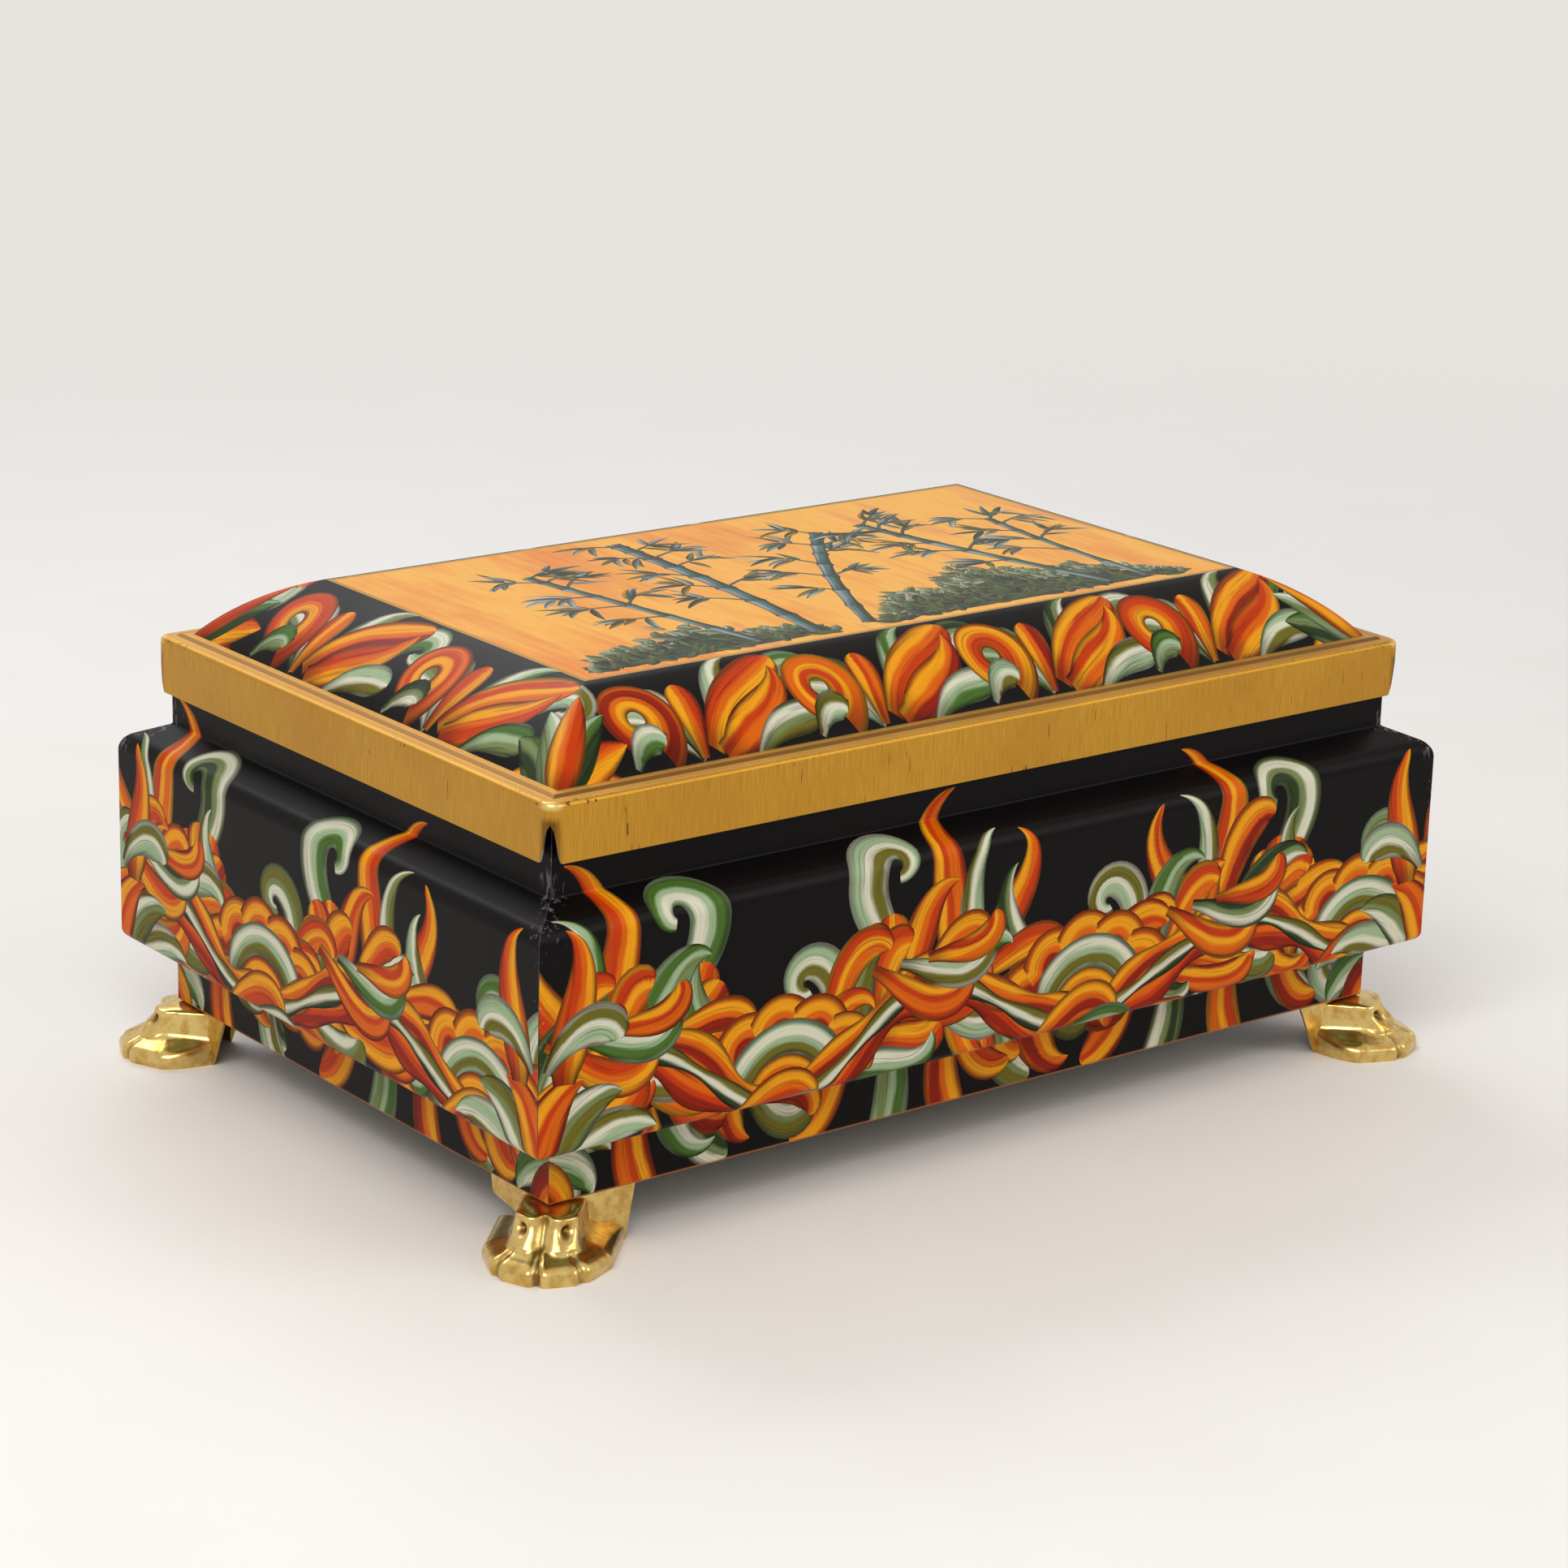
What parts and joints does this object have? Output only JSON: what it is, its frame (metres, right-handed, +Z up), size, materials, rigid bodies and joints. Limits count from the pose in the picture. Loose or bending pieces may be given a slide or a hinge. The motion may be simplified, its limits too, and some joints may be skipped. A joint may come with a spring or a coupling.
{
  "type": "small lidded tin trunk",
  "caption": "Small printed tin trunk with a hinged, sloped lid, a gold skirt, shouldered walls and pressed brass-coloured paw feet.",
  "frame": {"origin": "on the ground, below the middle of the trunk", "axes": "+X along the long side, to the right seen from the front; +Y to the back, where the hinges are; +Z up"},
  "size_m": [0.2452, 0.1672, 0.1074],
  "materials": {
    "lid_lacquer": "gold lacquer and gloss print",
    "wall_print": "gloss print on near-black",
    "plain_tin": "plain tinplate",
    "foot_brass": "bright pressed brass",
    "hinge_steel": "tinned steel"
  },
  "bodies": {
    "box": {"front_wall": "wall_print", "back_wall": "wall_print", "left_wall": "wall_print", "right_wall": "wall_print", "base_plate": "plain_tin", "foot_front_left": "foot_brass", "foot_front_right": "foot_brass", "foot_back_left": "foot_brass", "foot_back_right": "foot_brass", "body_hinge_leaf_left": "hinge_steel", "body_hinge_leaf_right": "hinge_steel", "hinge_pin_left": "hinge_steel", "hinge_pin_right": "hinge_steel", "body_leaf_rivets": "hinge_steel"},
    "lid_assembly": {"lid": "lid_lacquer", "lid_hinge_leaf_left": "hinge_steel", "lid_hinge_leaf_right": "hinge_steel", "lid_leaf_rivets": "hinge_steel"}
  },
  "joints": [
    {"name": "lid_hinge", "type": "hinge", "parent": "box", "child": "lid_assembly", "pos_m": [0, 0.0725, 0.07957], "axis": [-1, 0, 0], "range_deg": [0, 105]}
  ]
}
